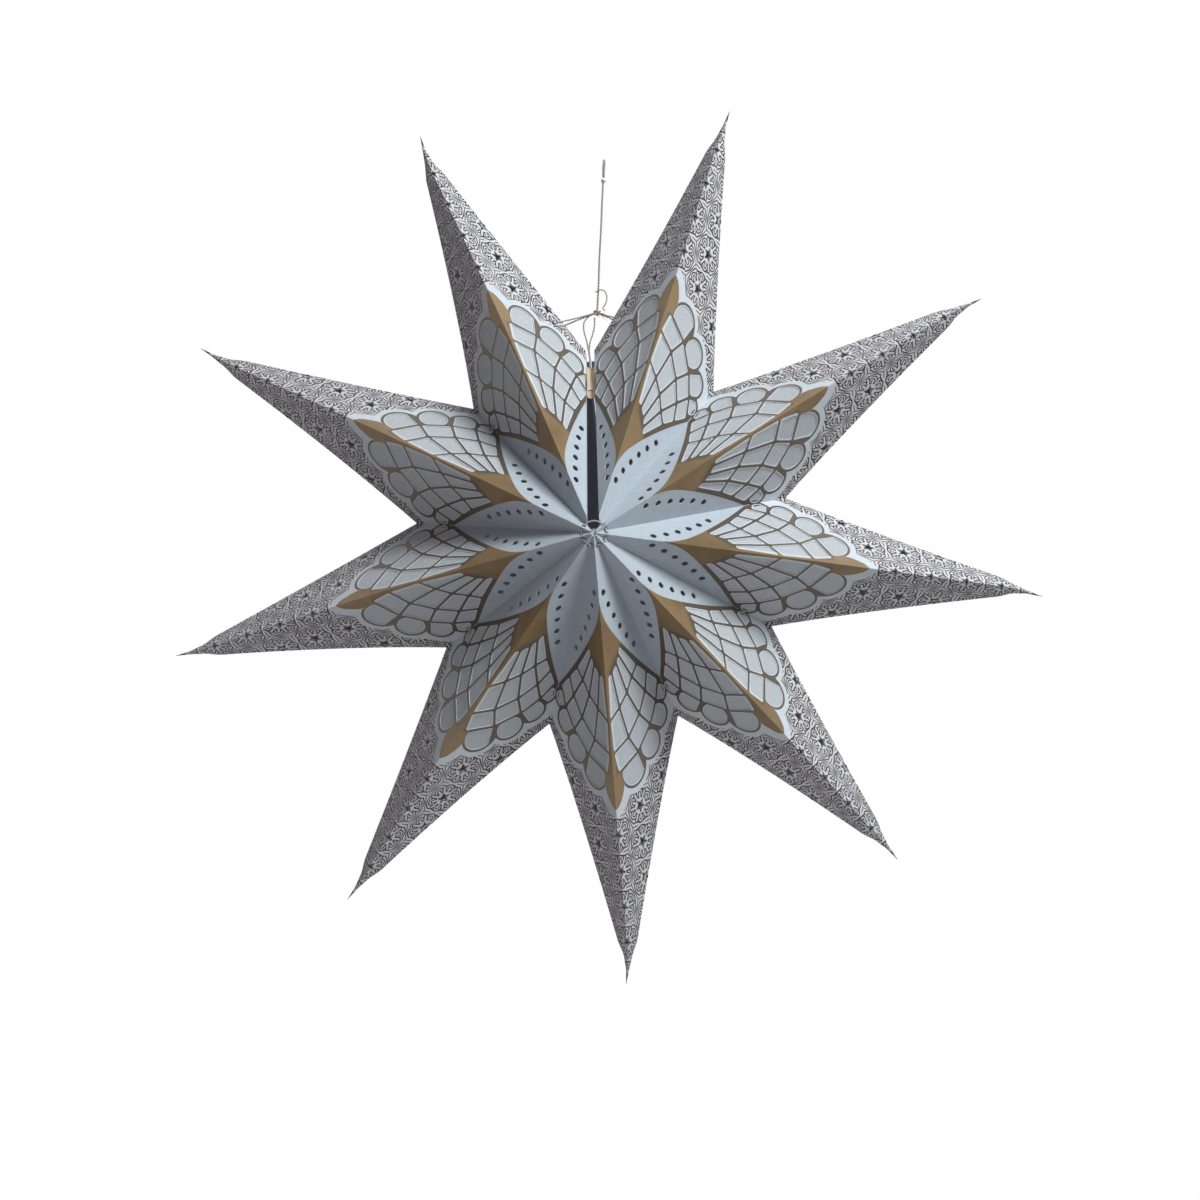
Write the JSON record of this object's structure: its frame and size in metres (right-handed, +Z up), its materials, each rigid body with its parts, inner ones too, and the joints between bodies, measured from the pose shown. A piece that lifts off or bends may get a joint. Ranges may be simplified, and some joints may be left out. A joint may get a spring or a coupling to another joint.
{
  "type": "hanging star lantern",
  "caption": "Hanging folded-paper star lantern with net-shaped windows, punched stars and a hanging string.",
  "frame": {"origin": "where the hanging loop at the top of the string bears on its hook", "axes": "+Z up along the string, -Y out of the star's front face, +X to the right seen from the front"},
  "size_m": [0.5873, 0.1986, 0.5897],
  "materials": {
    "card": "matt white die-cut card with gold foil and dark tile print",
    "window_paper": "translucent fibrous paper",
    "foil": "gold foil printed on card, satin metallic",
    "string": "twisted two-ply grey-brown cotton string",
    "thread": "fine twisted grey thread",
    "staple": "dull wire staple"
  },
  "bodies": {
    "string": {"hang_loop": "string", "loop_knot": "string", "hanging_string": "string"},
    "leaf_1_body": {"leaf_1": "card", "window_paper_1_front_left": "window_paper", "window_paper_1_front_right": "window_paper", "window_paper_1_back_left": "window_paper", "window_paper_1_back_right": "window_paper", "main_knot": "string", "right_tie": "string", "seam_strands": "string", "string_tail": "string", "seam_tab": "foil", "seam_staple": "staple", "front_lacing": "thread", "back_lacing": "thread"},
    "leaf_2_body": {"leaf_2": "card", "window_paper_2_front_left": "window_paper", "window_paper_2_front_right": "window_paper", "window_paper_2_back_left": "window_paper", "window_paper_2_back_right": "window_paper"},
    "leaf_3_body": {"leaf_3": "card", "window_paper_3_front_left": "window_paper", "window_paper_3_front_right": "window_paper", "window_paper_3_back_left": "window_paper", "window_paper_3_back_right": "window_paper"},
    "leaf_4_body": {"leaf_4": "card", "window_paper_4_front_left": "window_paper", "window_paper_4_front_right": "window_paper", "window_paper_4_back_left": "window_paper", "window_paper_4_back_right": "window_paper"},
    "leaf_5_body": {"leaf_5": "card", "window_paper_5_front_left": "window_paper", "window_paper_5_front_right": "window_paper", "window_paper_5_back_left": "window_paper", "window_paper_5_back_right": "window_paper"},
    "leaf_6_body": {"leaf_6": "card", "window_paper_6_front_left": "window_paper", "window_paper_6_front_right": "window_paper", "window_paper_6_back_left": "window_paper", "window_paper_6_back_right": "window_paper"},
    "leaf_7_body": {"leaf_7": "card", "window_paper_7_front_left": "window_paper", "window_paper_7_front_right": "window_paper", "window_paper_7_back_left": "window_paper", "window_paper_7_back_right": "window_paper"},
    "leaf_8_body": {"leaf_8": "card", "window_paper_8_front_left": "window_paper", "window_paper_8_front_right": "window_paper", "window_paper_8_back_left": "window_paper", "window_paper_8_back_right": "window_paper"},
    "leaf_9_body": {"leaf_9": "card", "window_paper_9_front_left": "window_paper", "window_paper_9_front_right": "window_paper", "window_paper_9_back_left": "window_paper", "window_paper_9_back_right": "window_paper", "left_tie": "string"}
  },
  "joints": [
    {"name": "swivel", "type": "hinge", "parent": "string", "child": "leaf_1_body", "pos_m": [0, 0, -0.1], "axis": [0, 0, 1], "continuous": true},
    {"name": "fold_1", "type": "hinge", "parent": "leaf_1_body", "child": "leaf_2_body", "pos_m": [0.0108, 0, -0.26], "axis": [0, -1, 0], "range_deg": [0, 39.4], "deforming": ["leaf_2", "window_paper_2_front_left", "window_paper_2_front_right", "window_paper_2_back_left", "window_paper_2_back_right", "leaf_1", "window_paper_1_front_left", "window_paper_1_front_right", "window_paper_1_back_left", "window_paper_1_back_right", "front_lacing", "back_lacing"]},
    {"name": "fold_2", "type": "hinge", "parent": "leaf_2_body", "child": "leaf_3_body", "pos_m": [0.0108, 0, -0.26], "axis": [0, -1, 0], "range_deg": [0, 39.4], "deforming": ["leaf_3", "window_paper_3_front_left", "window_paper_3_front_right", "window_paper_3_back_left", "window_paper_3_back_right"]},
    {"name": "fold_3", "type": "hinge", "parent": "leaf_3_body", "child": "leaf_4_body", "pos_m": [0.0108, 0, -0.26], "axis": [0, -1, 0], "range_deg": [0, 39.4], "deforming": ["leaf_4", "window_paper_4_front_left", "window_paper_4_front_right", "window_paper_4_back_left", "window_paper_4_back_right"]},
    {"name": "fold_4", "type": "hinge", "parent": "leaf_4_body", "child": "leaf_5_body", "pos_m": [0.0108, 0, -0.26], "axis": [0, -1, 0], "range_deg": [0, 39.4], "deforming": ["leaf_5", "window_paper_5_front_left", "window_paper_5_front_right", "window_paper_5_back_left", "window_paper_5_back_right"]},
    {"name": "fold_5", "type": "hinge", "parent": "leaf_5_body", "child": "leaf_6_body", "pos_m": [0.0108, 0, -0.26], "axis": [0, -1, 0], "range_deg": [0, 39.4], "deforming": ["leaf_6", "window_paper_6_front_left", "window_paper_6_front_right", "window_paper_6_back_left", "window_paper_6_back_right"]},
    {"name": "fold_6", "type": "hinge", "parent": "leaf_6_body", "child": "leaf_7_body", "pos_m": [0.0108, 0, -0.26], "axis": [0, -1, 0], "range_deg": [0, 39.4], "deforming": ["leaf_7", "window_paper_7_front_left", "window_paper_7_front_right", "window_paper_7_back_left", "window_paper_7_back_right"]},
    {"name": "fold_7", "type": "hinge", "parent": "leaf_7_body", "child": "leaf_8_body", "pos_m": [0.0108, 0, -0.26], "axis": [0, -1, 0], "range_deg": [0, 39.4], "deforming": ["leaf_8", "window_paper_8_front_left", "window_paper_8_front_right", "window_paper_8_back_left", "window_paper_8_back_right"]},
    {"name": "fold_8", "type": "hinge", "parent": "leaf_8_body", "child": "leaf_9_body", "pos_m": [0.0108, 0, -0.26], "axis": [0, -1, 0], "range_deg": [0, 39.4], "deforming": ["leaf_9", "window_paper_9_front_left", "window_paper_9_front_right", "window_paper_9_back_left", "window_paper_9_back_right"]}
  ],
  "couplings": [
    {"joint": "fold_2", "follows": "fold_1", "ratio": 1},
    {"joint": "fold_3", "follows": "fold_1", "ratio": 1},
    {"joint": "fold_4", "follows": "fold_1", "ratio": 1},
    {"joint": "fold_5", "follows": "fold_1", "ratio": 1},
    {"joint": "fold_6", "follows": "fold_1", "ratio": 1},
    {"joint": "fold_7", "follows": "fold_1", "ratio": 1},
    {"joint": "fold_8", "follows": "fold_1", "ratio": 1}
  ]
}
